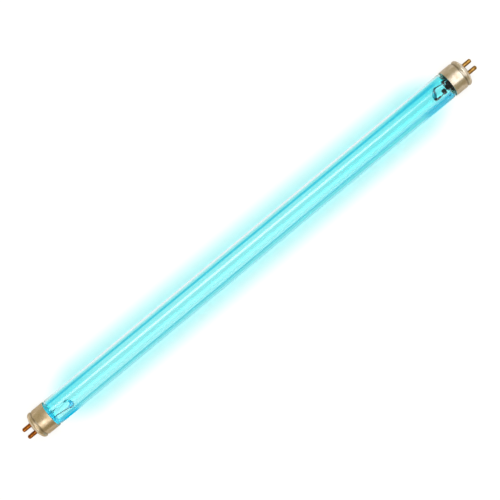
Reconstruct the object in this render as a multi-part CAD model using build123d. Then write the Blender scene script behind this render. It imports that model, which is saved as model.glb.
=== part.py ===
from build123d import *
from dataclasses import dataclass
import math
import os

# A tubular germicidal lamp: a clear quartz tube, closed at each end by a glass stem in a two-pin cap.
# The lamp lies along X with its middle at the origin, and its four pins lie in the XY plane.
# Each end is modelled in its own frame: depth runs along +X from the cap's end face into the lamp.

# Overall size
BASE_SPAN = 303.0  # from one cap's end face to the other's

# Quartz tube
TUBE_OD = 15.5
TUBE_WALL = 1.0
NECK_INSET = 0.5  # how far the tube's ends are drawn in, on the radius
NECK_SHOW = 0.3  # length of the drawn-in neck that stands out of the cap
SHOULDER_LENGTH = 1.6
SHOULDER_RADIUS = 1.2

# Cap shell, rolled from thin sheet
CAP_LENGTH = 12.0
CAP_WALL = 0.3
CEMENT_THICKNESS = 0.35
CEMENT_INSET = 0.8  # from the shell's open edge
END_RISE = 1.6  # how far the turned-in end stands out from the rim
RIM_PROUD = 0.1  # how far the rim stands over the shell's body
RIM_RADIUS = 1.6
RIM_FLAT = 0.3  # between the rim's curve and the groove
GROOVE_WIDTH = 1.7
GROOVE_SINK = 0.5
GROOVE_RADIUS = 0.6

# Contact pins in their insulating disc
PIN_D = 2.35
PIN_SPACING = 4.75
PIN_REACH = 5.95  # past the cap's end face
SHANK_D = 2.0  # through the disc, behind the pin's shoulder
PIN_BORE = 1.3
PIN_TIP = 1.4  # length of the tip that is crimped on the wire
PIN_TIP_RADIUS = 0.95
FLANGE_PROUD = 0.7
FLANGE_LENGTH = 0.5
BOSS_MARGIN = 0.95  # disc that shows around the pins, inside the shell's mouth
DISC_ROOM = 0.2  # between the disc's back and the groove

# Glass stem
FLARE_LENGTH = 0.9
FLARE_RADIUS = 1.5
STEM_WALL = 0.9
STEM_ROOM = 0.25  # between the outermost wire and the stem's wall
STEM_THROAT = 1.3  # straight cavity past the flare's curve
STEM_FLOOR = 0.7  # glass between the cavity and the press
PRESS_BLEND = 1.8  # from the round stem to the flat press
PRESS_THICKNESS = 2.4
PRESS_MARGIN = 1.4  # glass beyond the outer wires
PRESS_CORNER = 0.9
EXHAUST_OD = 2.2
EXHAUST_WALL = 0.5
EXHAUST_ROOM = 0.7  # between the sealed tip and the pins
EXHAUST_HOLE = 0.9  # through the press into the lamp

# Leads and coiled electrodes
LEAD_D = 0.5
LEAD_BEND = 0.8
LEAD_STRAIGHT = 0.8  # straight wire beside a bend
COIL_WIRE = 0.36  # with its coating
COIL_ROOM = 0.07  # between a lead and the coil's turns round it
COIL_BELLY = 0.4  # how far the coil swells between the leads, on the radius
COIL_TURNS = 9
COIL_GRIP = 1.1  # length of the coil that is slipped over a lead's tip
COIL_STEPS = 12  # points of the coil's curve in a turn

# Left end's hand-bent mount: places across the lamp in the press and at the tips, and reach past the press
LEFT_PRESS_LENGTH = 2.0
LEFT_BOW = 2.4  # how far the coil's curve is drawn out past the leads
LEFT_REAR_PRESS_Y = 0.4
LEFT_REAR_TIP_Y = 0.3
LEFT_REAR_REACH = 9.6
LEFT_FRONT_PRESS_Y = -2.7
LEFT_FRONT_TIP_Y = -3.7
LEFT_FRONT_REACH = 10.2

# Right end's hand-bent mount, in that end's own frame
RIGHT_PRESS_LENGTH = 3.4
RIGHT_BOW = 1.6
RIGHT_REAR_PRESS_Y = -2.2
RIGHT_REAR_TIP_Y = -2.7
RIGHT_REAR_REACH = 5.2
RIGHT_FRONT_PRESS_Y = 1.5
RIGHT_FRONT_TIP_Y = 2.7
RIGHT_FRONT_REACH = 8.1

# Mercury flag, welded on one lead
FLAG_LENGTH = 2.4
FLAG_WIDTH = 3.0
FLAG_THICKNESS = 0.25
FLAG_CORNER = 0.5
FLAG_GAP = 0.6  # from the press to the flag

# Room between pieces that seat on each other
SEAT_GAP = 0.02


@dataclass
class Lead:
    """One lead: its places across the lamp at pin, press and tip, and its reach past the press."""

    side: str
    pin_y: float
    press_y: float
    tip_y: float
    reach: float


@dataclass
class End:
    """One end of the lamp. The right end's frame is the left one's, turned half round about Z."""

    name: str
    turn: float
    press_length: float
    bow: float
    leads: list


pin_y = PIN_SPACING / 2
LEFT_LEADS = [
    Lead("rear", pin_y, LEFT_REAR_PRESS_Y, LEFT_REAR_TIP_Y, LEFT_REAR_REACH),
    Lead("front", -pin_y, LEFT_FRONT_PRESS_Y, LEFT_FRONT_TIP_Y, LEFT_FRONT_REACH),
]
RIGHT_LEADS = [
    Lead("rear", -pin_y, RIGHT_REAR_PRESS_Y, RIGHT_REAR_TIP_Y, RIGHT_REAR_REACH),
    Lead("front", pin_y, RIGHT_FRONT_PRESS_Y, RIGHT_FRONT_TIP_Y, RIGHT_FRONT_REACH),
]
LEFT = End("left", 0, LEFT_PRESS_LENGTH, LEFT_BOW, LEFT_LEADS)
RIGHT = End("right", 180, RIGHT_PRESS_LENGTH, RIGHT_BOW, RIGHT_LEADS)

# Radii that follow from those sizes
neck_r = TUBE_OD / 2 - NECK_INSET
bore_r = neck_r - TUBE_WALL
shell_r = neck_r + CEMENT_THICKNESS + CAP_WALL
rim_r = shell_r + RIM_PROUD
boss_r = PIN_SPACING / 2 + PIN_D / 2 + BOSS_MARGIN
mouth_r = boss_r + SEAT_GAP
lead_hole_r = LEAD_D / 2 + SEAT_GAP
cavity_r = max(abs(lead.press_y) for lead in LEFT.leads + RIGHT.leads) + LEAD_D / 2 + STEM_ROOM
stem_r = cavity_r + STEM_WALL
flare_r = min(FLARE_RADIUS, bore_r - stem_r)
coil_r = LEAD_D / 2 + COIL_ROOM + COIL_WIRE / 2

# Depths that follow from those sizes
end_slope = END_RISE / (rim_r - mouth_r)
rim_turn = math.pi / 2 - math.atan(end_slope)
groove_start = END_RISE + RIM_RADIUS * math.tan(rim_turn / 2) + RIM_FLAT
groove_end = groove_start + GROOVE_WIDTH
disc_back = groove_start - DISC_ROOM
pin_back = disc_back + FLANGE_LENGTH
flare_face = groove_end
tube_end = flare_face + FLARE_LENGTH
cavity_end = tube_end + FLARE_RADIUS + STEM_THROAT
stem_end = cavity_end + STEM_FLOOR
press_start = stem_end + PRESS_BLEND
crimp = PIN_TIP - PIN_REACH
wire_end = crimp - PIN_TIP / 2


def turned(*points, radii=None):
    """A body of revolution about X from a closed outline of (depth, radius) points, rounded by radii."""
    if radii is None:
        outline = Polyline(*points, close=True)
    else:
        outline = FilletPolyline(*points, radius=radii, close=True)
    return revolve(make_face(outline), Axis.X)


def rod(start, stop, radius, y):
    """A round rod along X between two depths."""
    return extrude(Plane.YZ.offset(start) * Pos(y, 0) * Circle(radius), stop - start)


def press_middle(end):
    """The middle of an end's press, halfway between its two wires."""
    return sum(lead.press_y for lead in end.leads) / len(end.leads)


def press_end(end):
    """The depth of the press's far edge."""
    return press_start + end.press_length


def glass_tube():
    """The quartz tube: one outline along its outside, thickened inwards and turned about the axis."""
    half = BASE_SPAN / 2
    neck_stop = CAP_LENGTH + NECK_SHOW
    left_side = [
        (tube_end - half, neck_r),
        (neck_stop - half, neck_r),
        (neck_stop + SHOULDER_LENGTH - half, TUBE_OD / 2),
    ]
    right_side = [(-x, r) for x, r in reversed(left_side)]
    outside = FilletPolyline(*left_side, *right_side, radius=SHOULDER_RADIUS)
    return revolve(make_face(offset(outside, amount=TUBE_WALL, side=Side.RIGHT)), Axis.X)


def cap_shell():
    """The cap's sheet: a rolled groove, a rounded rim and a turned-in end, all of one thickness."""
    outside = FilletPolyline(
        (CAP_LENGTH, shell_r),
        (groove_end, shell_r),
        ((groove_start + groove_end) / 2, shell_r - GROOVE_SINK),
        (groove_start, rim_r),
        (END_RISE, rim_r),
        (0, mouth_r),
        radius=[GROOVE_RADIUS, GROOVE_RADIUS, GROOVE_RADIUS, RIM_RADIUS],
    )
    sheet = revolve(make_face(offset(outside, amount=CAP_WALL, side=Side.LEFT)), Axis.X)
    return sheet - rod(-SEAT_GAP, disc_back, mouth_r, 0)


def disc():
    """The insulating disc: it fills the shell's mouth, lies against its end and stops at the groove."""
    behind_shell = (CAP_WALL + SEAT_GAP) * math.hypot(1, end_slope)
    edge_r = rim_r - CAP_WALL - SEAT_GAP
    body = turned(
        (0, 0),
        (0, boss_r),
        (behind_shell, boss_r),
        (behind_shell + (edge_r - mouth_r) * end_slope, edge_r),
        (disc_back, edge_r),
        (disc_back, 0),
        radii=[0, 0, 0, RIM_RADIUS - CAP_WALL - SEAT_GAP, 0, 0],
    )
    for y in (-PIN_SPACING / 2, PIN_SPACING / 2):
        body -= rod(-SEAT_GAP, disc_back + SEAT_GAP, SHANK_D / 2 + SEAT_GAP, y)
    return body


def cement():
    """The ring of cement that fills the space between the shell and the tube's neck."""
    inner = neck_r + SEAT_GAP
    outer = neck_r + CEMENT_THICKNESS - SEAT_GAP
    stop = CAP_LENGTH - CEMENT_INSET
    return turned((tube_end, inner), (tube_end, outer), (stop, outer), (stop, inner))


def pin(lead):
    """A hollow pin: a tip crimped on the wire, a shoulder on the disc and a flange riveted behind it."""
    flange_r = SHANK_D / 2 + FLANGE_PROUD
    outside = [
        (-PIN_REACH, 0),
        (-PIN_REACH, PIN_D / 2),
        (0, PIN_D / 2),
        (0, SHANK_D / 2),
        (disc_back, SHANK_D / 2),
        (disc_back, flange_r),
        (pin_back, flange_r),
    ]
    inside = [
        (pin_back, PIN_BORE / 2),
        (crimp, PIN_BORE / 2),
        (crimp, lead_hole_r),
        (wire_end, lead_hole_r),
        (wire_end, 0),
    ]
    radii = [0, PIN_TIP_RADIUS] + [0] * (len(outside) + len(inside) - 2)
    return Pos(0, lead.pin_y, 0) * turned(*outside, *inside, radii=radii)


def stem(end):
    """The glass stem: a flare that closes the tube, a hollow neck and a flat press round the wires."""
    body = turned(
        (flare_face, neck_r),
        (tube_end, neck_r),
        (tube_end, stem_r),
        (stem_end, stem_r),
        (stem_end, 0),
        (cavity_end, 0),
        (cavity_end, cavity_r),
        (flare_face, cavity_r),
        radii=[0, 0, flare_r, 0, 0, 0, 0, flare_r + FLARE_LENGTH],
    )
    spread = abs(end.leads[0].press_y - end.leads[1].press_y)
    middle = press_middle(end)
    flat = Pos(middle, 0) * RectangleRounded(spread + 2 * PRESS_MARGIN, PRESS_THICKNESS, PRESS_CORNER)
    body += loft([Plane.YZ.offset(stem_end) * Circle(stem_r), Plane.YZ.offset(press_start) * flat])
    body += extrude(Plane.YZ.offset(press_start) * flat, end.press_length)
    hole_start, hole_stop = cavity_end - SEAT_GAP, press_end(end) + SEAT_GAP
    for lead in end.leads:
        body -= rod(hole_start, hole_stop, lead_hole_r, lead.press_y)
    if end is RIGHT:
        body -= rod(hole_start, hole_stop, EXHAUST_HOLE / 2, middle)
    return body


def exhaust_tube(end):
    """The exhaust tube, fused to the floor of the stem's cavity and drawn to a closed tip."""
    outer = EXHAUST_OD / 2
    inner = outer - EXHAUST_WALL
    tip = pin_back + EXHAUST_ROOM
    shoulder = tip + outer
    body = turned(
        (tip, 0),
        (shoulder, outer),
        (cavity_end, outer),
        (cavity_end, inner),
        (shoulder + EXHAUST_WALL, inner),
        (shoulder, 0),
        radii=[0, outer, 0, 0, 0, 0],
    )
    return Pos(0, press_middle(end), 0) * body


def lead_points(end, lead):
    """The corners of a lead's path, from the pin's tip through the press to the coil."""
    tip = press_end(end) + lead.reach
    return [
        Vector(wire_end, lead.pin_y),
        Vector(pin_back + LEAD_STRAIGHT, lead.pin_y),
        Vector(cavity_end - LEAD_STRAIGHT, lead.press_y),
        Vector(press_end(end) + LEAD_STRAIGHT, lead.press_y),
        Vector(tip - COIL_GRIP - LEAD_STRAIGHT, lead.tip_y),
        Vector(tip, lead.tip_y),
    ]


def lead_wire(end, lead):
    """A bent wire of one thickness."""
    path = FilletPolyline(*lead_points(end, lead), radius=LEAD_BEND)
    return sweep(Plane(path @ 0, z_dir=path % 0) * Circle(LEAD_D / 2), path=path)


def filament(end):
    """A coil whose end turns sit round the leads' tips. Between them it swells and bows inwards."""
    tips = [lead_points(end, lead)[-1] for lead in end.leads]
    starts = [tip - Vector(COIL_GRIP, 0) for tip in tips]
    pulls = [tip + Vector(end.bow, 0) for tip in tips]
    bow = Bezier(tips[0], pulls[0], pulls[1], tips[1])
    middle = Wire([Line(starts[0], tips[0]), bow, Line(tips[1], starts[1])])
    up = Vector(0, 0, 1)
    points = []
    for step in range(COIL_TURNS * COIL_STEPS + 1):
        share = step / (COIL_TURNS * COIL_STEPS)
        angle = 2 * math.pi * COIL_TURNS * share
        radius = coil_r + COIL_BELLY * math.sin(math.pi * share) ** 2
        across = (middle % share).cross(up) * math.cos(angle)
        points.append(middle @ share + (across + up * math.sin(angle)) * radius)
    path = Spline(*points)
    return sweep(Plane(path @ 0, z_dir=path % 0) * Circle(COIL_WIRE / 2), path=path, is_frenet=True)


def mercury_flag(end, lead):
    """A small plate welded on top of a lead, just past the press."""
    bend, rise = lead_points(end, lead)[3:5]
    depth = press_end(end) + FLAG_GAP + FLAG_LENGTH / 2
    share = (depth - bend.X) / (rise.X - bend.X)
    y = bend.Y + share * (rise.Y - bend.Y)
    plate = extrude(RectangleRounded(FLAG_LENGTH, FLAG_WIDTH, FLAG_CORNER), FLAG_THICKNESS)
    return Pos(depth, y, LEAD_D / 2 + SEAT_GAP) * plate


def end_pieces(end):
    """Every piece of one end, by name, in that end's own frame."""
    pieces = {
        f"{end.name}_cap": cap_shell(),
        f"{end.name}_disc": disc(),
        f"{end.name}_cement": cement(),
        f"{end.name}_stem": stem(end),
        f"{end.name}_filament": filament(end),
    }
    for lead in end.leads:
        pieces[f"{end.name}_{lead.side}_pin"] = pin(lead)
        pieces[f"{end.name}_{lead.side}_lead"] = lead_wire(end, lead)
    if end is RIGHT:
        pieces["exhaust_tube"] = exhaust_tube(end)
        pieces["mercury_flag"] = mercury_flag(end, end.leads[1])
    return pieces


os.makedirs("parts", exist_ok=True)
nodes = {"glass_tube": glass_tube()}
for end in (LEFT, RIGHT):
    place = Rot(0, 0, end.turn) * Pos(-BASE_SPAN / 2, 0, 0)
    for name, piece in end_pieces(end).items():
        nodes[name] = place * piece
for name, piece in nodes.items():
    export_step(piece, f"parts/{name}.step")
print(len(nodes), "pieces written")
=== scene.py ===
# %% [markdown]
# # A germicidal tube lamp
# The lamp is a sealed quartz tube with a rolled metal cap, two pins and a wire electrode at each end. It
# lies along X with its middle at the origin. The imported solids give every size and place, so they are
# loaded first and their box is kept: the finished lamp may not grow past it.

# %% Load the frame
import math

import bpy
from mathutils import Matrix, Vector


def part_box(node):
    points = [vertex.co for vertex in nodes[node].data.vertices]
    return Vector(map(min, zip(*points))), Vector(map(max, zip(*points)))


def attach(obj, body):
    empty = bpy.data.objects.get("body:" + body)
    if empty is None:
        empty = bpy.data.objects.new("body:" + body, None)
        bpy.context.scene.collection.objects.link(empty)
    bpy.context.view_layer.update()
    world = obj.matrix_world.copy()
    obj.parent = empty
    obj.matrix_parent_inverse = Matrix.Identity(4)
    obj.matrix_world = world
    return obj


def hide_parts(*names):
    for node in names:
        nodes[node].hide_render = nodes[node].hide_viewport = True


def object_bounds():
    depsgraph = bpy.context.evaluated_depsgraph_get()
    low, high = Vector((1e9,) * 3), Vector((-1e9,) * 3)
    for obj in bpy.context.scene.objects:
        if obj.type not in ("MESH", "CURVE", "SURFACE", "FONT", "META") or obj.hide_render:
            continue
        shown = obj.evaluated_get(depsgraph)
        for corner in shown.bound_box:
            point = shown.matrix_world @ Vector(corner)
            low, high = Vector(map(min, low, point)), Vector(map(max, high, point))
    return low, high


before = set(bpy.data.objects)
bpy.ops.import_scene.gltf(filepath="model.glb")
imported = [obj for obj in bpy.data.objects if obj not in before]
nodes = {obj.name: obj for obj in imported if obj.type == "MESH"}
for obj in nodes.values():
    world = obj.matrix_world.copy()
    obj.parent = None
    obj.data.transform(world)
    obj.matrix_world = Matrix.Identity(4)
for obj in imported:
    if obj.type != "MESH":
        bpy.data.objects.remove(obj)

MM = 0.001
cad_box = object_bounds()
bpy.ops.object.select_all(action="DESELECT")
print(len(nodes), "solids, box in mm:", [[round(v / MM, 2) for v in corner] for corner in cad_box])

# %% [markdown]
# ## Sizes
# A lathe hand thinks in depths and radii. Depth is counted from a cap's end face into the lamp, and one
# function turns it into a place at the left end. The outer sizes come from the solids' boxes, which hold
# a lowest and a highest corner.

# %% Sizes from the frame
LOW, HIGH = 0, 1
FLOOR_Z = cad_box[LOW][2]
TUBE_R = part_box("glass_tube")[HIGH].y
RIM_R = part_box("left_cap")[HIGH].z
FACE_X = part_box("left_cap")[LOW].x


def depth(name, corner):
    """How deep a corner of one of the left end's solids lies behind the cap's end face."""
    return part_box(name)[corner].x - FACE_X


def at_left(deep, radius):
    """A place on the left end's outline, in the plane of X and Z."""
    return Vector((FACE_X + deep, 0, radius))


def in_mm(length):
    """A length in millimetres, to print."""
    return round(length / MM, 2)


cap_length = depth("left_cap", HIGH)
tube_end = depth("glass_tube", LOW)
print("tube radius", in_mm(TUBE_R), "cap length", in_mm(cap_length), "tube starts at", in_mm(tube_end))

# %% [markdown]
# ## The camera
# The picture looks straight down on the lamp, which lies from the lower left to the upper right. The
# camera is near enough for the caps' open edges to curve, as they do in the picture. Turning the camera
# about Z turns the lamp in the picture, and leaves the lamp itself along X.

# %% Camera
PICTURE_PIXELS = 500
PIXEL = 0.5415 * MM
CAMERA_HEIGHT = 0.62
CAMERA_TURN = -39.676
CAMERA_PLACE = (-0.18 * MM, -0.63 * MM)
CAMERA_REACH = 20.0
SENSOR = 36.0

bpy.ops.object.camera_add(
    location=(*CAMERA_PLACE, CAMERA_HEIGHT), rotation=(0, 0, math.radians(CAMERA_TURN))
)
camera = bpy.context.object
camera.name = "camera"
camera.data.sensor_width = SENSOR
camera.data.lens = SENSOR * CAMERA_HEIGHT / (PICTURE_PIXELS * PIXEL)
camera.data.clip_end = CAMERA_REACH
bpy.context.scene.camera = camera
bpy.context.scene.view_settings.view_transform = "Standard"
print("lens", round(camera.data.lens, 1), "mm")

# %% [markdown]
# ## Nodes, a few at a time
# Every finish below is a small node tree. It could be clicked together node by node. These helpers make a
# node, set its values and link its inputs, so that a material reads as a short list of what feeds what.

# %% Nodes and materials
def node(tree, kind, links=(), **values):
    """A new node with its properties, and a link or a plain value on each named input."""
    made = tree.nodes.new(kind)
    for name, value in values.items():
        setattr(made, name, value)
    for socket, source in dict(links).items():
        if hasattr(source, "node"):
            tree.links.new(source, made.inputs[socket])
        else:
            made.inputs[socket].default_value = source
    return made


def new_material(name):
    """A material with an empty tree, and that tree."""
    material = bpy.data.materials.new(name)
    material.use_nodes = True
    material.node_tree.nodes.clear()
    return material, material.node_tree


def show(tree, shader):
    """Ends a material's tree with the shader that the surface shows."""
    node(tree, "ShaderNodeOutputMaterial", {"Surface": shader})


print("helpers for nodes and materials ready")

# %% Sums, blends and places
WHITE = (1, 1, 1, 1)


def sum_of(tree, operation, *inputs):
    """One sum, and its result."""
    return node(tree, "ShaderNodeMath", dict(enumerate(inputs)), operation=operation).outputs[0]


def product(tree, *shares):
    """Shares multiplied together."""
    result = shares[0]
    for share in shares[1:]:
        result = sum_of(tree, "MULTIPLY", result, share)
    return result


def how_far(tree, first, second):
    """How far one number lies from another."""
    return sum_of(tree, "ABSOLUTE", sum_of(tree, "SUBTRACT", first, second))


def vector_sum(tree, operation, result, *inputs):
    """One sum of vectors, and the result asked for."""
    return node(tree, "ShaderNodeVectorMath", dict(enumerate(inputs)), operation=operation).outputs[result]


def eased(tree, value, low, high, to_low=0.0, to_high=1.0):
    """A value eased from one range into another, and held at its ends."""
    ends = {"Value": value, "From Min": low, "From Max": high, "To Min": to_low, "To Max": to_high}
    return node(tree, "ShaderNodeMapRange", ends, interpolation_type="SMOOTHSTEP").outputs["Result"]


def blend(tree, share, first, second, blend_type="MIX"):
    """One colour blended into another."""
    colours = {0: share, 6: first, 7: second}
    return node(tree, "ShaderNodeMix", colours, data_type="RGBA", blend_type=blend_type).outputs[2]


def object_place(tree):
    """The place on the piece."""
    return node(tree, "ShaderNodeTexCoord").outputs["Object"]


def axes_of(tree, place):
    """The X, Y and Z of a place or a direction."""
    return node(tree, "ShaderNodeSeparateXYZ", {0: place}).outputs


print("helpers for sums, blends and places ready")

# %% [markdown]
# ## Floor and glow
# The lamp lies on white. Lit, it throws a soft blue-green pool on the floor beside it, which fades about
# three tube radii from the axis and closes in a round end by the caps. Light from inside the tube would
# need many samples to come out smooth, so the pool is a tint of the floor, by distance from the axis.

# %% Floor and its pool of light
FLOOR_SIZE = 6.0
GLOW_COLOUR = (0.1, 0.75, 0.78, 1)
GLOW_REACH = 21.7 * MM
GLOW_STRENGTH = 0.58
GLOW_STRAIGHT = 115 * MM
GLOW_END = 145 * MM

bpy.ops.mesh.primitive_plane_add(size=FLOOR_SIZE, location=(0, 0, FLOOR_Z))
floor = bpy.context.object
floor.name = "floor"
bpy.ops.object.transform_apply(location=True, rotation=True, scale=True)

white_floor, tree = new_material("white_floor")
place = object_place(tree)
axis = axes_of(tree, place)
across = sum_of(tree, "ABSOLUTE", axis["Y"])
along = sum_of(tree, "ABSOLUTE", axis["X"])
past_straight = sum_of(tree, "MAXIMUM", sum_of(tree, "SUBTRACT", along, GLOW_STRAIGHT), 0.0)
drawn_in = product(tree, past_straight, GLOW_REACH / (GLOW_END - GLOW_STRAIGHT))
from_axis = node(tree, "ShaderNodeCombineXYZ", {0: drawn_in, 1: across}).outputs[0]
away = vector_sum(tree, "LENGTH", "Value", from_axis)
pool = eased(tree, away, GLOW_REACH, TUBE_R, to_high=GLOW_STRENGTH)
pool_colour = blend(tree, pool, WHITE, GLOW_COLOUR)
print("glow reaches", in_mm(GLOW_REACH), "mm from the axis")

# %% [markdown]
# Through the glass the floor looks different. A tube's walls bend light away from strips under it, which
# plain refraction can't work out in a short render. So rays through the tube see painted shadow lines there,
# deep blue, a bluer floor along the front, and deep blue patches of painted shade by the electrodes. The
# lines tilt a little, as they do in the picture. All this fades away from the tube, where no glass is.

# %% Floor seen through the tube
FRONT_COLOUR = (0.42, 0.90, 0.94, 1)
FRONT_START = (-7.0 * MM, -9.0 * MM)
# The deep blue patches by the electrodes are painted shade.
SHADE_PATCH_COLOUR = (0.0, 0.56, 0.82, 1)
SHADE_PATCH_ENDS = (120 * MM, 129 * MM)
SHADE_PATCH_START = (-4.9 * MM, -6.2 * MM)
SHADE_PATCH_STOP = (-36 * MM, -14 * MM)
# The deep blue lines are painted shadow of the tube's walls on the floor.
WALL_SHADOW_COLOUR = (0.04, 0.68, 0.85, 1)
WALL_SHADOW_ENDS = (142 * MM, 136 * MM)
WALL_SHADOW_CORE = 0.4
SECOND_WALL_SHADOW_START = (90 * MM, 125 * MM)
LEFTWARDS = 3 * MM
REAR_TILT = -0.0028
FRONT_TILT = 0.0068
UNDER_SIDES = (85 * MM, 14 * MM)
UNDER_ENDS = (165 * MM, 152 * MM)

at_rear, at_front = (
    sum_of(tree, "SUBTRACT", axis["Y"], product(tree, axis["X"], tilt)) for tilt in (REAR_TILT, FRONT_TILT)
)
from_centre = how_far(tree, axis["X"], -LEFTWARDS)
through = blend(tree, eased(tree, at_front, *FRONT_START), WHITE, FRONT_COLOUR)
# Painted shade in patches by the electrodes.
shade_patch = product(
    tree,
    eased(tree, from_centre, *SHADE_PATCH_ENDS),
    eased(tree, at_front, *SHADE_PATCH_START),
    eased(tree, at_front, *SHADE_PATCH_STOP),
)
through = blend(tree, shade_patch, through, SHADE_PATCH_COLOUR)
second_wall_shadow = eased(tree, axis["X"], *SECOND_WALL_SHADOW_START, to_high=0.8)
# Each pass paints one shadow line of the tube's walls.
for side, wall_shadow_place, width, strength in (
    (at_rear, 6.0 * MM, 1.3 * MM, 1.0),
    (at_front, -6.4 * MM, 1.2 * MM, 0.8),
    (at_rear, 7.4 * MM, 0.9 * MM, second_wall_shadow),
):
    off = how_far(tree, side, wall_shadow_place)
    line = eased(tree, off, width, WALL_SHADOW_CORE * width, to_high=strength)
    through = blend(tree, product(tree, line, eased(tree, from_centre, *WALL_SHADOW_ENDS)), through, WALL_SHADOW_COLOUR)
under_tube = product(tree, eased(tree, across, *UNDER_SIDES), eased(tree, along, *UNDER_ENDS))
through = blend(tree, under_tube, WHITE, through)
print("lines through the tube end at", in_mm(WALL_SHADOW_ENDS[0]), "mm")

# %% [markdown]
# One material brings the floor's colours together, by the kind of ray that meets it. The camera sees the
# pool, and near the lamp a share of it is matt, which keeps the shadow. Rays through glass see the lines.
# Mirrored rays see a dimmer, warmer floor that gives the caps their tan, and a bluer one by the tube for
# the tube's edges. To these rays all but that matt share is emission, so that white stays white under any
# lamp.

# %% Floor finish
SHADOW_SHARE = 0.25
SHADOW_REACH = (0.6, 0.25)
MIRRORED_FLOOR = (0.58, 0.52, 0.40, 1)
MIRRORED_BEYOND = (0.90, 0.83, 0.70, 1)
BEYOND_ENDS = (158 * MM, 175 * MM)
MIRRORED_IN_FRONT = (0.35, 0.85, 0.92, 1)
MIRRORED_BEHIND = (0.9, 1.0, 1.0, 1)
MIRROR_ENDS = (139 * MM, 132 * MM)
MIRROR_SIDES = (45 * MM, 30 * MM)
MIRRORED_PATCH = (0.0, 0.45, 0.75, 1)
MIRRORED_PATCH_ENDS = ((-124.5 * MM, -126.5 * MM), (-136.5 * MM, -134.0 * MM))
MIRRORED_PATCH_SLANT = 0.21

beside = eased(tree, across, *MIRROR_SIDES)
by_tube = blend(tree, eased(tree, axis["Y"], -TUBE_R, TUBE_R), MIRRORED_IN_FRONT, MIRRORED_BEHIND)
near_tube = product(tree, eased(tree, along, *MIRROR_ENDS), beside)
mirrored = blend(tree, eased(tree, along, *BEYOND_ENDS), MIRRORED_FLOOR, MIRRORED_BEYOND)
mirrored = blend(tree, near_tube, mirrored, by_tube)
slanted = sum_of(tree, "ADD", axis["X"], product(tree, across, MIRRORED_PATCH_SLANT))
patch_ends = [eased(tree, slanted, *ends) for ends in MIRRORED_PATCH_ENDS]
left_front = product(tree, eased(tree, axis["Y"], 0.0, -TUBE_R), beside, *patch_ends)
mirrored = blend(tree, left_front, mirrored, MIRRORED_PATCH)

ray = node(tree, "ShaderNodeLightPath").outputs
colour = blend(tree, ray["Is Camera Ray"], WHITE, pool_colour)
colour = blend(tree, ray["Is Glossy Ray"], colour, mirrored)
colour = blend(tree, ray["Is Transmission Ray"], colour, through)
white = node(tree, "ShaderNodeEmission", {"Color": colour, "Strength": 1.0}).outputs[0]
matt = node(tree, "ShaderNodeBsdfDiffuse", {"Color": colour}).outputs[0]
from_middle = vector_sum(tree, "LENGTH", "Value", place)
own_light = eased(tree, from_middle, *SHADOW_REACH, to_low=1.0, to_high=1 - SHADOW_SHARE)
share = product(tree, ray["Is Camera Ray"], own_light)
for kind in ("Is Transmission Ray", "Is Glossy Ray"):
    share = sum_of(tree, "MAXIMUM", share, ray[kind])
show(tree, node(tree, "ShaderNodeMixShader", {0: share, 1: matt, 2: white}).outputs[0])
floor.data.materials.append(white_floor)
print("floor at", in_mm(FLOOR_Z), "mm")

# %% [markdown]
# ## Light
# Glass mirrors only a few hundredths of what it faces, and metal most of it, so no lamp suits both. Here
# each lamp is linked to the pieces that it is set up for. A strip and a panel are mirrored by the tube:
# one draws the thin bright line, the other pales the front half. A box over each cap gives the metal its
# bright middle. One overhead lamp lights the floor and the inner pieces.

# %% Lights
FOR_TUBE, FOR_CAPS, FOR_REST = (
    bpy.data.collections.new(f"lit_with_the_{group}") for group in ("tube", "caps", "rest")
)
FAR = 3.0
NEAR = 0.9


def soft_light(name, lit, distance, lean, x, size, radiance):
    """A rectangular lamp that leans over by some degrees towards +Y, for one group of pieces."""
    turn = math.radians(lean)
    place = (x, distance * math.sin(turn), distance * math.cos(turn))
    bpy.ops.object.light_add(type="AREA", location=place, rotation=(-turn, 0, 0))
    lamp = bpy.context.object
    lamp.name = name
    lamp.data.shape = "RECTANGLE"
    lamp.data.size, lamp.data.size_y = size
    lamp.data.energy = radiance * math.pi * size[0] * size[1]
    lamp.visible_camera = False
    lamp.light_linking.receiver_collection = lit
    print(name, "for", lit.name)


soft_light("strip", FOR_TUBE, FAR, lean=24.5, x=-0.07, size=(1.70, 0.65), radiance=18)
soft_light("panel", FOR_TUBE, FAR, lean=-55, x=0, size=(2.6, 2.6), radiance=2.7)
soft_light("left_box", FOR_CAPS, NEAR, lean=-22, x=-0.45, size=(0.8, 0.66), radiance=1.3)
soft_light("right_box", FOR_CAPS, NEAR, lean=-2, x=0.45, size=(0.8, 1.2), radiance=1.35)
soft_light("overhead", FOR_REST, FAR, lean=0, x=0, size=(4.0, 4.0), radiance=2.4)
FOR_REST.objects.link(floor)

# %% [markdown]
# The room round the table matters only where something mirrors it. Walls could be built, but a world
# colour by direction does the same: a dim warm front and back make the dark bands on the caps, and pale
# far ends brighten the caps' turned-in ends. Straight on and through glass the room is white, as the
# floor is.

# %% Room
ROOM_FRONT = (0.32, 0.27, 0.14, 1)
ROOM_BACK = (0.46, 0.41, 0.27, 1)
ROOM_ENDS = (0.80, 0.86, 0.86, 1)
FRONT_TO_BACK = (-0.8, 0.8)
END_WALLS = (0.72, 0.88)

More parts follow.
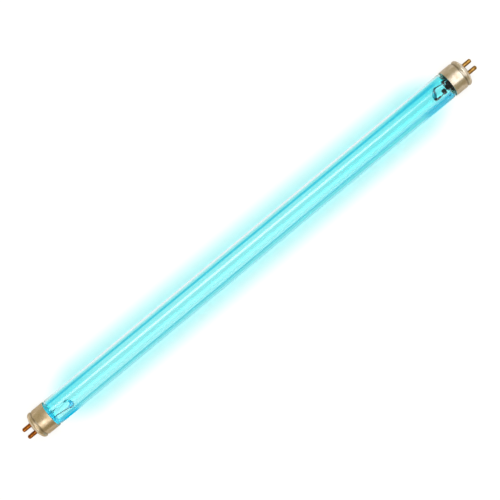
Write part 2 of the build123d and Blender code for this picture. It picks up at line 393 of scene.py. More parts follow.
world = bpy.data.worlds.new("room")
bpy.context.scene.world = world
world.use_nodes = True
tree = world.node_tree
tree.nodes.clear()
towards = axes_of(tree, node(tree, "ShaderNodeTexCoord").outputs["Generated"])
walls = blend(tree, eased(tree, towards["Y"], *FRONT_TO_BACK), ROOM_FRONT, ROOM_BACK)
endwards = sum_of(tree, "ABSOLUTE", towards["X"])
walls = blend(tree, eased(tree, endwards, *END_WALLS), walls, ROOM_ENDS)
ray = node(tree, "ShaderNodeLightPath").outputs
straight = sum_of(tree, "MAXIMUM", ray["Is Camera Ray"], ray["Is Transmission Ray"])
colour = blend(tree, straight, walls, WHITE)
background = node(tree, "ShaderNodeBackground", {"Color": colour, "Strength": 1.0})
node(tree, "ShaderNodeOutputWorld", {"Surface": background.outputs[0]})
print("room from", ROOM_FRONT[:3], "to", ROOM_BACK[:3])

# %% [markdown]
# ## Drawing and turning
# The tube, the caps, the pins and the stems are all round about an axis. Each could be dragged out of a
# cylinder ring by ring. Here an outline is drawn instead: one point is extruded from place to place, its
# corners are rounded with a vertex bevel, and Spin turns the line about X, as a lathe does.

# %% Helpers for outlines
TINY = 0.002 * MM
ARC_STEPS = 6


def pick_none(kind):
    """Leaves the active mesh with no points or edges selected."""
    bpy.ops.object.mode_set(mode="EDIT")
    bpy.ops.mesh.select_mode(type=kind)
    bpy.ops.mesh.select_all(action="DESELECT")
    bpy.ops.object.mode_set(mode="OBJECT")


def pick(piece, test):
    """Goes into edit mode with just those points selected whose places pass the test."""
    pick_none("VERT")
    for point in piece.data.vertices:
        point.select = test(point.co)
    bpy.ops.object.mode_set(mode="EDIT")


def extrude(move):
    """Draws what is selected out by some move."""
    bpy.ops.mesh.extrude_region_move(TRANSFORM_OT_translate={"value": move})


def draw(name, places, radii=()):
    """A new mesh of one line through some places, with its inner corners rounded."""
    bpy.ops.object.select_all(action="DESELECT")
    bpy.ops.mesh.primitive_plane_add(size=MM)
    piece = bpy.context.object
    piece.name = name
    bpy.ops.object.mode_set(mode="EDIT")
    bpy.ops.mesh.select_mode(type="VERT")
    bpy.ops.mesh.select_all(action="SELECT")
    bpy.ops.mesh.merge(type="CENTER")
    bpy.ops.transform.translate(value=places[0])
    for before, after in zip(places, places[1:]):
        extrude(after - before)
    for before, corner, after, radius in zip(places, places[1:], places[2:], radii):
        if radius:
            cut = radius * math.tan((corner - before).angle(after - corner) / 2)
            pick(piece, lambda place: (place - corner).length < TINY)
            bpy.ops.mesh.bevel(affect="VERTICES", offset_type="OFFSET", offset=cut, segments=ARC_STEPS)
    bpy.ops.object.mode_set(mode="OBJECT")
    return piece


def close_up():
    """Joins the active mesh's points that coincide, and points its faces outwards."""
    bpy.ops.object.mode_set(mode="EDIT")
    bpy.ops.mesh.select_all(action="SELECT")
    bpy.ops.mesh.remove_doubles(threshold=TINY)
    bpy.ops.mesh.normals_make_consistent(inside=False)
    bpy.ops.object.mode_set(mode="OBJECT")


def lathe(steps):
    """Spins the active outline about X and closes its seam."""
    bpy.ops.object.mode_set(mode="EDIT")
    bpy.ops.mesh.select_all(action="SELECT")
    bpy.ops.mesh.spin(steps=steps, angle=2 * math.pi, center=(0, 0, 0), axis=(1, 0, 0))
    close_up()


print("outline helpers ready")

# %% [markdown]
# ## Finishing a piece
# Once a piece has its shape, the same steps follow each time: its modifiers are applied, and it is
# dressed, smoothed, lit and handed over in place of its solid. By hand that is a row of clicks, here one
# function each.

# %% Helpers for finishing a piece
SMOOTH_ANGLE = math.radians(35)


def apply_modifier(piece, kind, **values):
    """Adds a modifier with its values and applies it."""
    modifier = piece.modifiers.new(kind.lower(), kind)
    for name, value in values.items():
        setattr(modifier, name, value)
    bpy.ops.object.modifier_apply(modifier=modifier.name)


def choose(piece):
    """Makes a piece the active one, and the only one selected."""
    bpy.ops.object.select_all(action="DESELECT")
    piece.select_set(True)
    bpy.context.view_layer.objects.active = piece


def seat(piece, solid, finish=None, lit=FOR_REST):
    """Dresses a finished piece, smooths it, lights it, seats it and hides the solid that it stands for."""
    choose(piece)
    bpy.ops.object.shade_smooth_by_angle(angle=SMOOTH_ANGLE)
    if finish:
        piece.data.materials.clear()
        piece.data.materials.append(finish)
    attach(piece, "root")
    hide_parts(solid)
    lit.objects.link(piece)
    print(piece.name, len(piece.data.polygons), "faces for", solid)


print("finishing helpers ready")

# %% [markdown]
# ## Surfaces
# No real surface is even: glass has draw lines, sheet is smudged, wire is grainy. Photos could be wrapped
# round the pieces, but would need files and show seams. Noise that is read at the place on a piece needs
# neither, and one noise can steer colour, roughness and relief together.

# %% Helpers for surfaces
NOISE_SPREAD = (0.3, 0.7)


def principled(tree, **sockets):
    """A Principled shader. Its sockets are named with an underscore for each space."""
    values = {name.replace("_", " "): value for name, value in sockets.items()}
    return node(tree, "ShaderNodeBsdfPrincipled", values).outputs[0]


def mottle(tree, place, scale, detail, stretch=(1, 1, 1)):
    """Noise at a scale per metre, stretched along the axes."""
    mapped = node(tree, "ShaderNodeMapping", {"Vector": place, "Scale": stretch}).outputs[0]
    return node(tree, "ShaderNodeTexNoise", {"Vector": mapped, "Scale": scale, "Detail": detail}).outputs[0]


def relief(tree, height, strength, distance):
    """A bump from a height, with its depth in metres."""
    sockets = {"Height": height, "Strength": strength, "Distance": distance}
    return node(tree, "ShaderNodeBump", sockets).outputs[0]


print("surface helpers ready, most noise lies in", NOISE_SPREAD)

# %% [markdown]
# ## Quartz
# Clear quartz has almost no colour of its own. The blue-green is the lit gas in the bore. A volume could
# stand for the gas, but is slow and comes out grainy, so the bore's wall carries the tint, and the outer
# wall is nearly clear. That is also why the tube's outer edges look white: light there turns round inside
# the wall and never enters the bore. The rear of both ends is bluer, the gas glows round the left
# electrode, and metal from the right one has left black and a droplet on the bore; under the right cap
# that black is also painted shade of the cap's inside. A soft coat gives the gloss, and shadow rays pass,
# or the shadow would be black.

# %% Colours in the bore
BLACK = (0, 0, 0, 1)
BORE_TINT = (0.33, 0.855, 0.875, 1)
BORE_RIGHT_TINT = (0.215, 0.83, 0.865, 1)
LEFT_TO_RIGHT = (10 * MM, 120 * MM)
# Black deposit by the right electrode, and under the right cap also painted shade of the cap's inside.
BLACK_DEPOSIT_AND_SHADE = (0.005, 0.003, 0.005, 1)
BLACK_AND_SHADE_START = (139.9 * MM, 140.6 * MM)
DROPLET = Vector((135.6, -5.0, 4.7)) * MM
DROPLET_SIZE = (0.7 * MM, 0.35 * MM)
LEFT_GLOW = (0.0, 0.27, 0.43, 1)
LEFT_GLOW_START = (-136 * MM, -141 * MM)
REAR_TO_MIDDLE = (5 * MM, 0.0)
REAR_GLOW_SHARE = 0.4


def bore_colours(tree, place, axis):
    """The bore's tint: black deposit and painted shade by the right cap, a droplet, and the left end's glow.
    """
    tint = blend(tree, eased(tree, axis["X"], *LEFT_TO_RIGHT), BORE_TINT, BORE_RIGHT_TINT)
    # Under the right cap the bore goes black: deposit and painted shade.
    tint = blend(tree, eased(tree, axis["X"], *BLACK_AND_SHADE_START), tint, BLACK_DEPOSIT_AND_SHADE)
    off = vector_sum(tree, "DISTANCE", "Value", place, DROPLET)
    tint = blend(tree, eased(tree, off, *DROPLET_SIZE), tint, BLACK_DEPOSIT_AND_SHADE)
    near_left = eased(tree, axis["X"], *LEFT_GLOW_START)
    in_front = eased(tree, axis["Y"], *REAR_TO_MIDDLE, to_low=REAR_GLOW_SHARE)
    return tint, blend(tree, product(tree, near_left, in_front), BLACK, LEFT_GLOW)


print("bore goes black at", in_mm(BLACK_AND_SHADE_START[0]), "mm")

# %% Quartz finishes
QUARTZ_IOR = 1.458
SHADOW_TINT = (0.86, 0.98, 0.98, 1)
WALL_TINT = (0.80, 0.965, 0.97, 1)
END_SHADE = (0.77, 0.98, 1.0, 1)
SHADED_ENDS = (100 * MM, 124 * MM)
SHADED_REAR = (0.5 * MM, 3.0 * MM)


def clear_to_shadows(tree, shader):
    """Ends a glass's tree: shadow rays pass it with a faint tint, and all others meet the shader."""
    clear = node(tree, "ShaderNodeBsdfTransparent", {"Color": SHADOW_TINT}).outputs[0]
    shadow = node(tree, "ShaderNodeLightPath").outputs["Is Shadow Ray"]
    show(tree, node(tree, "ShaderNodeMixShader", {0: shadow, 1: shader, 2: clear}).outputs[0])


def quartz(name, in_bore):
    """Quartz with faint draw lines: glossy on its outer wall, and with the gas's colours in the bore."""
    material, tree = new_material(name)
    place = object_place(tree)
    axis = axes_of(tree, place)
    draw_lines = mottle(tree, place, scale=300, detail=2, stretch=(0.003, 1, 1))
    tint, glow = bore_colours(tree, place, axis) if in_bore else (WALL_TINT, BLACK)
    at_ends = eased(tree, sum_of(tree, "ABSOLUTE", axis["X"]), *SHADED_ENDS)
    rear_ends = product(tree, at_ends, eased(tree, axis["Y"], *SHADED_REAR))
    shader = principled(
        tree,
        Base_Color=blend(tree, rear_ends, tint, END_SHADE, "MULTIPLY"),
        Roughness=0.0,
        IOR=QUARTZ_IOR,
        Transmission_Weight=1.0,
        Specular_Tint=BLACK,
        Coat_Weight=0.0 if in_bore else 1.0,
        Coat_IOR=QUARTZ_IOR,
        Coat_Roughness=0.22,
        Emission_Color=glow,
        Emission_Strength=1.0,
        Normal=relief(tree, draw_lines, strength=0.012, distance=0.05 * MM),
    )
    clear_to_shadows(tree, shader)
    return material


quartz_wall = quartz("quartz_wall", in_bore=False)
quartz_bore = quartz("quartz_bore", in_bore=True)
print("quartz:", quartz_wall.name, quartz_bore.name)

# %% [markdown]
# ## The tube
# A glass blower draws each end of the tube in, so that it fits the cap. Inside and outside could be drawn
# apart. Here only the outside is drawn, and spun finely, because every facet of a mirror-smooth tube
# would show as a stripe. Solidify then adds an even wall on the inside, and gives the bore its own
# finish.

# %% Tube
TUBE_WALL = 1.0 * MM
NECK_R = TUBE_R - 0.5 * MM
NECK_SHOW = 0.3 * MM
SHOULDER = 1.6 * MM
SHOULDER_CURVE = 1.2 * MM
TUBE_STEPS = 160

neck_stop = cap_length + NECK_SHOW
left_side = [at_left(tube_end, NECK_R), at_left(neck_stop, NECK_R), at_left(neck_stop + SHOULDER, TUBE_R)]
right_side = [Vector((-place.x, place.y, place.z)) for place in reversed(left_side)]
outline = left_side + right_side
tube = draw("quartz_tube", outline, [SHOULDER_CURVE] * (len(outline) - 2))
lathe(TUBE_STEPS)
tube.data.materials.append(quartz_wall)
tube.data.materials.append(quartz_bore)
apply_modifier(tube, "SOLIDIFY", thickness=TUBE_WALL, offset=-1, use_even_offset=True, material_offset=1)
seat(tube, "glass_tube", lit=FOR_TUBE)

# %% [markdown]
# ## Cap metal
# The caps are thin sheet, rolled and lacquered a warm champagne. Rolling leaves fine rings round the cap,
# handling leaves smudges, and the groove is darkened by dirt and painted shade, more at the cap's sides than
# on top. The rings are noise that changes fast along X only. A flat colour with one roughness would look like
# plastic.

# %% Cap finish
CAP_BRIGHT = (0.82, 0.68, 0.52, 1)
CAP_BROWN = (0.50, 0.37, 0.18, 1)
PALE_CAP_BRIGHT = (0.87, 0.79, 0.71, 1)
PALE_CAP_BROWN = (0.56, 0.43, 0.27, 1)
# The groove's dark colour is dirt and painted shade, less on top, where the light falls.
GROOVE_DIRT_AND_SHADE = (0.17, 0.12, 0.045, 1)
SMUDGED = (0.42, 0.72)
SMUDGE_SHARE = 0.6
CAP_ROUGH = (0.24, 0.4)
DISC_ROOM = 0.2 * MM
DIRT_AND_SHADE_WIDTH = 1.0 * MM
DIRT_AND_SHADE_SHIFT = 0.25 * MM
DIRT_AND_SHADE_SIDES = (0.5 * MM, 3.0 * MM)
DIRT_AND_SHADE_ON_TOP = 0.4
DIRT_AND_SHADE_GRAIN = (0.2, 0.6)
DIRT_AND_SHADE_SHARES = (0.45, 0.8)

groove_start = depth("left_disc", HIGH) + DISC_ROOM
groove_end = depth("left_stem", LOW)
groove_middle = (groove_start + groove_end) / 2
dirt_and_shade_x = -FACE_X - groove_middle - DIRT_AND_SHADE_SHIFT


def cap_finish(name, bright, brown):
    """Satin rolled sheet with rings, brown smudges and grime with painted shade in its groove."""
    material, tree = new_material(name)
    place = object_place(tree)
    axis = axes_of(tree, place)
    smudge = mottle(tree, place, scale=260, detail=5)
    rings = mottle(tree, place, scale=2600, detail=2, stretch=(1, 0.02, 0.02))
    from_groove = how_far(tree, sum_of(tree, "ABSOLUTE", axis["X"]), dirt_and_shade_x)
    # Dirt and painted shade in the groove, weaker on top than at the sides.
    dirt_and_shade = product(
        tree,
        eased(tree, from_groove, DIRT_AND_SHADE_WIDTH, 0.0),
        eased(tree, smudge, *DIRT_AND_SHADE_GRAIN, *DIRT_AND_SHADE_SHARES),
        eased(tree, sum_of(tree, "ABSOLUTE", axis["Y"]), *DIRT_AND_SHADE_SIDES, to_low=DIRT_AND_SHADE_ON_TOP),
    )
    sheet = blend(tree, eased(tree, smudge, *SMUDGED, to_high=SMUDGE_SHARE), bright, brown)
    shader = principled(
        tree,
        Base_Color=blend(tree, dirt_and_shade, sheet, GROOVE_DIRT_AND_SHADE),
        Metallic=1.0,
        Roughness=eased(tree, smudge, *NOISE_SPREAD, *CAP_ROUGH),
        Coat_Weight=0.3,
        Coat_Roughness=0.15,
        Normal=relief(tree, rings, strength=0.25, distance=0.02 * MM),
    )
    show(tree, shader)
    return material


left_sheet = cap_finish("champagne_sheet", CAP_BRIGHT, CAP_BROWN)
right_sheet = cap_finish("pale_champagne_sheet", PALE_CAP_BRIGHT, PALE_CAP_BROWN)
print("cap finishes:", left_sheet.name, right_sheet.name)

# %% [markdown]
# ## The caps
# A cap is one sheet: its body, the rolled groove that grips the disc, a rounded rim and an end that turns
# in to a round mouth. Both faces of the sheet could be drawn, but it is even all over, so one line is
# drawn along the outside, spun, and given its thickness inwards. A small bevel breaks the cut edges and
# draws the thin bright line on the open one. The right cap is a copy with a mesh of its own, turned half
# round.

# %% Helpers for turned pieces
SHARP_ANGLE = math.radians(50)
EDGE_STEPS = 2


def turn_at_left(name, corners, steps):
    """Draws and turns one of the left end's pieces from each corner's depth, radius and rounding."""
    places = [at_left(deep, radius) for deep, radius, _ in corners]
    piece = draw(name, places, [rounding for *_, rounding in corners[1:-1]])
    lathe(steps)
    return piece


def break_edges(piece, width):
    """Bevels a piece's sharp edges."""
    limit = {"limit_method": "ANGLE", "angle_limit": SHARP_ANGLE}
    apply_modifier(piece, "BEVEL", width=width, segments=EDGE_STEPS, **limit)


def copy_of(piece, name, turned=False, shift=(0, 0, 0)):
    """A copy with its own mesh, moved, or turned half round about Z for the lamp's other end."""
    choose(piece)
    bpy.ops.object.duplicate(linked=False)
    copy = bpy.context.object
    copy.name = name
    bpy.ops.object.mode_set(mode="EDIT")
    bpy.ops.mesh.select_all(action="SELECT")
    if turned:
        bpy.ops.transform.rotate(value=math.pi, orient_axis="Z", center_override=(0, 0, 0))
    bpy.ops.transform.translate(value=shift)
    bpy.ops.object.mode_set(mode="OBJECT")
    return copy


print("helpers for turned pieces ready")

# %% Caps
SHEET = 0.3 * MM
BODY_R = RIM_R - 0.1 * MM
END_RISE = 1.6 * MM
RIM_CURVE = 1.6 * MM
GROOVE_SINK = 0.5 * MM
GROOVE_CURVE = 0.6 * MM
MOUTH_DEPTH = 0.06 * MM
MOUTH_R = 4.65 * MM
CUT_EDGE = 0.07 * MM
CAP_STEPS = 128

cap_line = [
    (cap_length, BODY_R, 0),
    (groove_end, BODY_R, GROOVE_CURVE),
    (groove_middle, BODY_R - GROOVE_SINK, GROOVE_CURVE),
    (groove_start, RIM_R, GROOVE_CURVE),
    (END_RISE, RIM_R, RIM_CURVE),
    (MOUTH_DEPTH, MOUTH_R, 0),
]
left_shell = turn_at_left("left_shell", cap_line, CAP_STEPS)
apply_modifier(left_shell, "SOLIDIFY", thickness=SHEET, offset=-1, use_even_offset=True)
break_edges(left_shell, CUT_EDGE)
right_shell = copy_of(left_shell, "right_shell", turned=True)
seat(left_shell, "left_cap", left_sheet, lit=FOR_CAPS)
seat(right_shell, "right_cap", right_sheet, lit=FOR_CAPS)

# %% [markdown]
# ## Pin metal
# The pins are drawn brass tube. Those of the left cap have gone copper brown, and those of the right cap
# are still gold. One function makes both finishes from two pairs of colours, so that they stay alike in
# all else: scratched along X, as drawing leaves it, and dark and dull with tarnish in patches.

# %% Pin finishes
TARNISHED = (0.4, 0.65)
TARNISH_SHARE = 0.85
DULLED = (0.35, 0.7)
PIN_ROUGH = (0.22, 0.42)


def pin_finish(name, bright, dark):
    """Drawn brass with long scratches and a dark tarnish in patches."""
    material, tree = new_material(name)
    place = object_place(tree)
    patches = mottle(tree, place, scale=700, detail=5)
    scratches = mottle(tree, place, scale=5000, detail=2, stretch=(0.05, 1, 1))
    shader = principled(
        tree,
        Base_Color=blend(tree, eased(tree, patches, *TARNISHED, to_high=TARNISH_SHARE), bright, dark),
        Metallic=1.0,
        Roughness=eased(tree, patches, *DULLED, *PIN_ROUGH),
        Normal=relief(tree, scratches, strength=0.2, distance=0.01 * MM),
    )
    show(tree, shader)
    return material


copper_pin = pin_finish("copper_brown_pin", bright=(0.52, 0.17, 0.023, 1), dark=(0.25, 0.06, 0.01, 1))
brass_pin = pin_finish("gold_brass_pin", bright=(0.50, 0.28, 0.075, 1), dark=(0.26, 0.13, 0.03, 1))
print("pin finishes:", copper_pin.name, brass_pin.name)

# %% [markdown]
# ## The pins
# Each pin is a hollow rivet: a rounded tip crimped on the wire, a straight body, a shank through the disc
# and a flange behind it. It could be put together from cylinders, but one turned outline has no seams and
# keeps the bore open. One pin is turned on the axis, as a pattern for the four.

# %% Pins
PIN_R = 1.175 * MM
SHANK_R = 1.0 * MM
FLANGE_R = 1.7 * MM
BORE_R = 0.65 * MM
WIRE_HOLE_R = 0.27 * MM
TIP_CURVE = 0.95 * MM
TIP_LENGTH = 1.4 * MM
PIN_EDGE = 0.1 * MM
PIN_STEPS = 48

pin_tip = depth("left_rear_pin", LOW)
pin_back = depth("left_rear_pin", HIGH)
wire_end = depth("left_rear_lead", LOW)
disc_back = depth("left_disc", HIGH)
pin_line = [
    (pin_tip, 0, 0),
    (pin_tip, PIN_R, TIP_CURVE),
    (0, PIN_R, PIN_EDGE),
    (0, SHANK_R, 0),
    (disc_back, SHANK_R, 0),
    (disc_back, FLANGE_R, PIN_EDGE),
    (pin_back, FLANGE_R, PIN_EDGE),
    (pin_back, BORE_R, 0),
    (pin_tip + TIP_LENGTH, BORE_R, 0),
    (pin_tip + TIP_LENGTH, WIRE_HOLE_R, 0),
    (wire_end, WIRE_HOLE_R, 0),
    (wire_end, 0, 0),
]
pin = turn_at_left("turned_pin", pin_line, PIN_STEPS)
print("pin reaches", in_mm(pin_tip), "mm, flange to", in_mm(pin_back))

# %% [markdown]
# A crimping tool nips the pin near its tip, so that it holds the wire. The dents could be cut with a
# Boolean. Pushing a few points in with a soft-edged move is closer to what the tool does, and keeps the
# pin's faces. Then the pin is copied to its four places and removed.

# %% Nips, and the four pins
NIP_PLACE = 1.5 * MM
NIP_SIZE = 0.35 * MM
NIP_DEPTH = 0.12 * MM
NIP_REACH = 0.6 * MM


def soft_edge(reach):
    """What tells a move or a resize to fade out over some reach."""
    return {"use_proportional_edit": True, "proportional_edit_falloff": "SMOOTH", "proportional_size": reach}


for up in (1, -1):
    nip = at_left(pin_tip + NIP_PLACE, up * PIN_R)
    pick(pin, lambda place: (place - nip).length < NIP_SIZE)
    bpy.ops.transform.translate(value=(0, 0, -up * NIP_DEPTH), **soft_edge(NIP_REACH))
    bpy.ops.object.mode_set(mode="OBJECT")
for end, finish in (("left", copper_pin), ("right", brass_pin)):
    for side in ("rear", "front"):
        low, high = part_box(f"{end}_{side}_pin")
        turned = end == "right"
        one = copy_of(pin, f"{end}_{side}_contact_pin", turned, (0, (low.y + high.y) / 2, 0))
        seat(one, f"{end}_{side}_pin", finish, lit=FOR_CAPS)
bpy.data.objects.remove(pin)

# %% [markdown]
# ## Wire metal
# The leads are nickel wire that has gone dark, bluish at the left end, where one has a painted highlight
# between press and coil. The coils carry a baked coat: thick on the left one, whose blue is painted glow of
# the discharge, thin and dark on the right one, whose side towards the lamp's middle is painted lighter as
# if lit, and missing in places. Cutting a wire up by colour would leave seams, so its finish changes colour
# by place along it.

# %% Wire finish
BRIGHT_GRAIN = (0.45, 0.75)
BRIGHT_SHARE = 0.5
WIRE_ROUGH = (0.5, 0.75)
HIGHLIGHT_RISE = 1.5 * MM
HIGHLIGHT_FALL = 1.0 * MM


def wire_finish(name, dark, bright, highlight_range=None, bands=(), painted_lit_side=None):
    """Oxidised wire in two tones and bands along Y; it may get a painted highlight and a painted lit side."""
    material, tree = new_material(name)
    place = object_place(tree)
    axis = axes_of(tree, place)
    grain = mottle(tree, place, scale=1800, detail=4)
    share = eased(tree, grain, *BRIGHT_GRAIN, to_high=BRIGHT_SHARE)
    if highlight_range:
        start, stop = highlight_range
        rise = eased(tree, axis["X"], start, start + HIGHLIGHT_RISE)
        fall = eased(tree, axis["X"], stop, stop + HIGHLIGHT_FALL, to_low=1.0, to_high=0.0)
        share = sum_of(tree, "MAXIMUM", share, product(tree, rise, fall))
    colour = blend(tree, share, dark, bright)
    if painted_lit_side:
        slope, start, stop, pale = painted_lit_side
        sideways = sum_of(tree, "SUBTRACT", axis["X"], product(tree, axis["Y"], slope))
        colour = blend(tree, eased(tree, sideways, start, stop), colour, pale)
    for start, stop, band in bands:
        colour = blend(tree, eased(tree, axis["Y"], start, stop), colour, band)
    shader = principled(
        tree,
        Base_Color=colour,
        Metallic=0.2,
        Specular_IOR_Level=0.25,
        Roughness=eased(tree, grain, *NOISE_SPREAD, *WIRE_ROUGH),
        Normal=relief(tree, grain, strength=0.3, distance=0.02 * MM),
    )
    show(tree, shader)
    return material


dark_lead = wire_finish("oxidised_lead", dark=(0.004, 0.006, 0.008, 1), bright=(0.03, 0.04, 0.045, 1))
print("first wire finish:", dark_lead.name)

# %% Finishes for the other wires
BARE = (0.003, 0.004, 0.006, 1)
BARE_LEFT = (0.01, 0.24, 0.32, 1)
THIN_LEFT = (0.27, 0.80, 0.85, 1)
PAINTED_LIT_SIDE = (0.06, 0.42, 0.50, 1)

blued_lead = wire_finish("blued_lead", dark=(0.003, 0.05, 0.08, 1), bright=(0.02, 0.16, 0.21, 1))
# This lead's bright range along X is a painted highlight.
painted_highlight_lead = wire_finish(
    "painted_highlight_lead",
    dark=(0.003, 0.05, 0.08, 1),
    bright=(0.6, 0.72, 0.75, 1),
    highlight_range=(-137.0 * MM, -131.0 * MM),
)
# The blue of this coat is painted glow of the discharge.
left_coat_with_painted_glow = wire_finish(
    "coated_coil_with_painted_glow",
    dark=(0.01, 0.32, 0.50, 1),
    bright=(0.03, 0.45, 0.62, 1),
    bands=(
        (-1.0 * MM, -0.5 * MM, THIN_LEFT),
        (-0.2 * MM, 0.1 * MM, BARE_LEFT),
        (-3.3 * MM, -3.9 * MM, BARE_LEFT),
    ),
)
right_coat = wire_finish(
    "dark_coated_coil",
    dark=(0.006, 0.10, 0.14, 1),
    bright=(0.05, 0.28, 0.36, 1),
    bands=((-1.2 * MM, -1.8 * MM, BARE), (2.6 * MM, 3.2 * MM, BARE)),
    # The side towards the lamp's middle is painted lighter, as a lit side.
    painted_lit_side=(0.55, 130.0 * MM, 129.2 * MM, PAINTED_LIT_SIDE),
)
print("lead finishes:", blued_lead.name, painted_highlight_lead.name)
print("coil finishes:", left_coat_with_painted_glow.name, right_coat.name)

# %% [markdown]
# ## The leads
# A lead runs from the pin's tip through the press and out to the electrode. A pipe could be extruded
# round its bends, but a wire is a line with a thickness. So its line is drawn corner by corner, as the
# hand bends it, and rounded. Turned into a curve with a round bevel and back into a mesh, it becomes an
# even wire with closed ends.

# %% From line to wire
WIRE_ROUNDNESS = 3


def thicken(piece, thickness, swell=1.0):
    """Makes a drawn line a round wire with closed ends, thicker by some swell at the middle of its length."""
    bpy.ops.object.convert(target="CURVE")
    points = piece.data.splines[0].points
    for number, point in enumerate(points):
        point.radius = 1 + (swell - 1) * math.sin(math.pi * number / (len(points) - 1)) ** 2
    piece.data.bevel_depth = thickness / 2
    piece.data.bevel_resolution = WIRE_ROUNDNESS
    piece.data.use_fill_caps = True
    bpy.ops.object.convert(target="MESH")
    close_up()


print("wire helper ready")

# %% Leads
LEAD_THICKNESS = 0.5 * MM
LEAD_CURVE = 0.8 * MM
STRAIGHT = 0.8 * MM
GRIP = 1.1 * MM
LONG_GRIP = 3.3 * MM
CAVITY = 2.8 * MM


def lead_places(end, side, press_y, tip_y, grip):
    """The corners of a lead, from inside its pin through the press to its tip."""
    inner, inward = (HIGH, 1) if end == "left" else (LOW, -1)
    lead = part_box(f"{end}_{side}_lead")
    pin_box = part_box(f"{end}_{side}_pin")
    pin_y = (pin_box[LOW].y + pin_box[HIGH].y) / 2
    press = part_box(f"{end}_stem")[inner].x
    cavity = inward * (FACE_X + tube_end + CAVITY)
    tip = lead[inner].x
    return [
        Vector((lead[1 - inner].x, pin_y, 0)),
        Vector((pin_box[inner].x + inward * STRAIGHT, pin_y, 0)),
        Vector((cavity - inward * STRAIGHT, press_y, 0)),
        Vector((press + inward * STRAIGHT, press_y, 0)),
        Vector((tip - inward * (grip + STRAIGHT), tip_y, 0)),
        Vector((tip, tip_y, 0)),
    ]


LEADS = {
    ("left", "rear"): (0.4 * MM, 0.3 * MM, GRIP, painted_highlight_lead),
    ("left", "front"): (-2.7 * MM, -3.7 * MM, GRIP, blued_lead),
    ("right", "rear"): (2.2 * MM, 2.7 * MM, GRIP, dark_lead),
    ("right", "front"): (-1.5 * MM, -2.7 * MM, LONG_GRIP, dark_lead),
}
tips, grips, presses = {}, {}, {}
for (end, side), (press_y, tip_y, grip, finish) in LEADS.items():
    corners = lead_places(end, side, press_y, tip_y, grip)
    tips[end, side] = corners[-1]
    grips[end, side] = grip
    presses[end, side] = press_y
    wire = draw(f"{end}_{side}_wire", corners, [LEAD_CURVE] * (len(corners) - 2))
    thicken(wire, LEAD_THICKNESS)
    seat(wire, f"{end}_{side}_lead", finish)

# %% [markdown]
# ## The electrodes
# Each electrode is a coil of wire, slipped over the two leads' tips and bowed out between them. Bending a
# coil by hand, turn by turn, would take long. So a point is screwed into a straight helix, swelled at one
# place with a soft-edged resize, and bent by a Curve modifier along a bow from one lead to the other.
# Only then does the line get its thickness, so the wire stays even where the coil swells.

# %% Coils
COIL_WIRE = 0.30 * MM
COIL_R = 0.5 * MM
COIL_PITCH = 0.43 * MM
COIL_STEPS = 16
COIL_SWELL = 2.4
SWELL_REACH = 3.2 * MM
HANDLE = 0.3


def bow_between(end, bow):
    """A curve along one lead's tip, out into the lamp and back along the other's."""
    inward = Vector((1 if end == "left" else -1, 0, 0))
    rear, front = tips[end, "rear"], tips[end, "front"]
    rear_grip, front_grip = inward * grips[end, "rear"], inward * grips[end, "front"]
    pull = inward * bow
    bpy.ops.object.select_all(action="DESELECT")
    bpy.ops.curve.primitive_bezier_curve_add()
    curve = bpy.context.object
    points = curve.data.splines[0].bezier_points
    points.add(2)
    stops = [
        (rear - rear_grip, rear - rear_grip * (1 + HANDLE), rear - rear_grip * (1 - HANDLE)),
        (rear, rear - rear_grip * HANDLE, rear + pull),
        (front, front + pull, front - front_grip * HANDLE),
        (front - front_grip, front - front_grip * (1 - HANDLE), front - front_grip * (1 + HANDLE)),
    ]
    for point, (place, before, after) in zip(points, stops):
        point.handle_left_type = point.handle_right_type = "FREE"
        point.co, point.handle_left, point.handle_right = place, before, after
    return curve


def helix(name, length, fat):
    """A helix along X that swells at some place, as a line."""
    coil = draw(name, [Vector((0, 0, COIL_R))])
    count = round(length / COIL_PITCH)
    steps = count * COIL_STEPS
    turns = {"angle": 2 * math.pi * count, "screw_offset": length, "steps": steps, "render_steps": steps}
    apply_modifier(coil, "SCREW", axis="X", **turns)
    pick(coil, lambda place: abs(place.x - fat) < COIL_PITCH / 2)
    swell = (1, COIL_SWELL, COIL_SWELL)
    bpy.ops.transform.resize(value=swell, center_override=(fat, 0, 0), **soft_edge(SWELL_REACH))
    bpy.ops.object.mode_set(mode="OBJECT")
    return coil


print("coil radius", in_mm(COIL_R), "to", in_mm(COIL_R * COIL_SWELL), "mm")

# %% [markdown]
# The coating is a paste that was baked on. It fills the coil between its turns, so each electrode reads
# as one ribbed body. A fat line along the coil's middle stands for the paste. A displaced tube could
# imitate the ribs, but wire and paste, joined and remeshed into one skin, give true ones.

# %% Coated coils
PASTE_REACH = 2.4 * MM
PASTE_STEPS = 24
SKIN_CELL = 0.06 * MM
ELECTRODES = {
    "left": (1.9 * MM, 5.9 * MM, left_coat_with_painted_glow),
    "right": (0.8 * MM, 4.5 * MM, right_coat),
}

for end, (bow, fat, finish) in ELECTRODES.items():
    path = bow_between(end, bow)
    length = path.data.splines[0].calc_length()
    print(end, "coil", in_mm(length), "mm long")
    stops = [fat + PASTE_REACH * (2 * step / PASTE_STEPS - 1) for step in range(PASTE_STEPS + 1)]
    paste = draw(f"{end}_paste", [Vector((stop, 0, 0)) for stop in stops])
    thicken(paste, 2 * COIL_R, COIL_SWELL)
    apply_modifier(paste, "CURVE", object=path, deform_axis="POS_X")
    coil = helix(f"{end}_coil", length, fat)
    apply_modifier(coil, "CURVE", object=path, deform_axis="POS_X")
    thicken(coil, COIL_WIRE)
    bpy.data.objects.remove(path)
    paste.select_set(True)
    bpy.ops.object.join()
    apply_modifier(coil, "REMESH", mode="VOXEL", voxel_size=SKIN_CELL)
    seat(coil, f"{end}_filament", finish)

